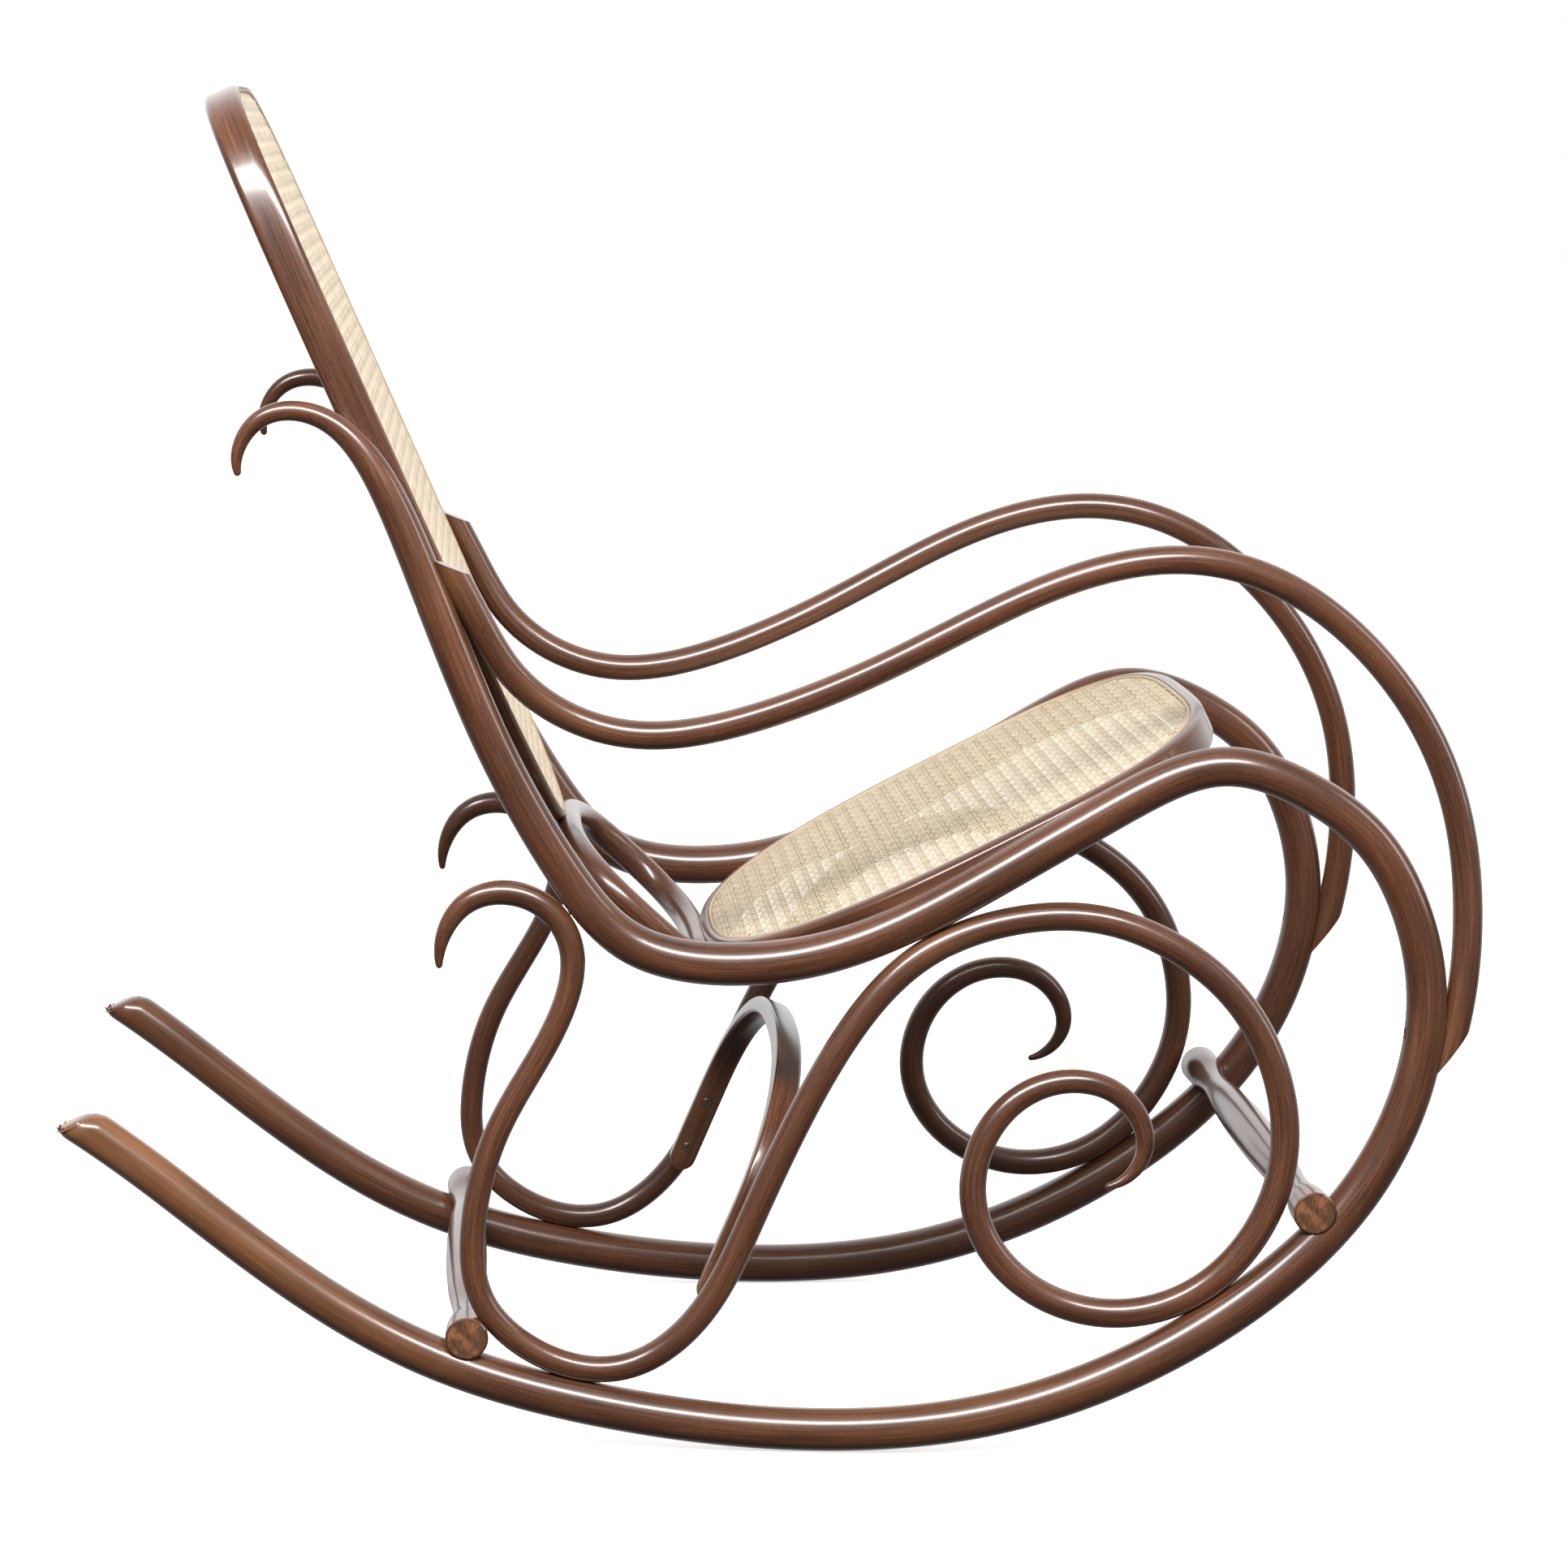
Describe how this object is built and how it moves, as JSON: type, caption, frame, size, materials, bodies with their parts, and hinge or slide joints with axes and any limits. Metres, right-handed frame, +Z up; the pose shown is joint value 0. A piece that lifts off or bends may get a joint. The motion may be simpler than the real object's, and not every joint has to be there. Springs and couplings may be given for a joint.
{
  "type": "rocking chair",
  "caption": "Bentwood rocking chair with scrolled side frames, swept arms, long runners and a caned seat and back.",
  "frame": {"origin": "middle of the chair's footprint box at floor level", "axes": "+X towards the front of the chair, +Y towards the sitter's left, +Z up; at rest the runners touch z = 0"},
  "size_m": [1.0854, 0.5498, 1.0283],
  "materials": {
    "stained_beech": "satin lacquer over dark walnut stain",
    "cane": "natural woven cane",
    "screw_steel": "plain"
  },
  "bodies": {
    "root": {"arm_left": "stained_beech", "arm_right": "stained_beech", "back_bow": "stained_beech", "back_cane": "cane", "back_frame": "stained_beech", "back_spline": "cane", "screw_arch_lower_left": "screw_steel", "screw_arch_lower_right": "screw_steel", "screw_arch_upper_left": "screw_steel", "screw_arch_upper_right": "screw_steel", "screw_arm_back_left": "screw_steel", "screw_arm_back_right": "screw_steel", "screw_arm_front_left": "screw_steel", "screw_arm_front_right": "screw_steel", "screw_back_lower_left": "screw_steel", "screw_back_lower_right": "screw_steel", "screw_back_upper_left": "screw_steel", "screw_back_upper_right": "screw_steel", "screw_bow_back": "screw_steel", "screw_bow_seat": "screw_steel", "screw_scroll_hook_left": "screw_steel", "screw_scroll_hook_right": "screw_steel", "screw_scroll_loop_left": "screw_steel", "screw_scroll_loop_right": "screw_steel", "screw_scroll_seat_left": "screw_steel", "screw_scroll_seat_right": "screw_steel", "screw_scroll_spiral_left": "screw_steel", "screw_scroll_spiral_right": "screw_steel", "screw_seat_front_left": "screw_steel", "screw_seat_front_right": "screw_steel", "screw_seat_rear_left": "screw_steel", "screw_seat_rear_right": "screw_steel", "screw_stretcher_front_left": "screw_steel", "screw_stretcher_front_right": "screw_steel", "screw_stretcher_rear_left": "screw_steel", "screw_stretcher_rear_right": "screw_steel", "scroll_left": "stained_beech", "scroll_right": "stained_beech", "seat_arch": "stained_beech", "seat_cane": "cane", "seat_frame": "stained_beech", "seat_spline": "cane", "side_rail_left": "stained_beech", "side_rail_right": "stained_beech", "stretcher_front": "stained_beech", "stretcher_rear": "stained_beech"}
  },
  "joints": []
}
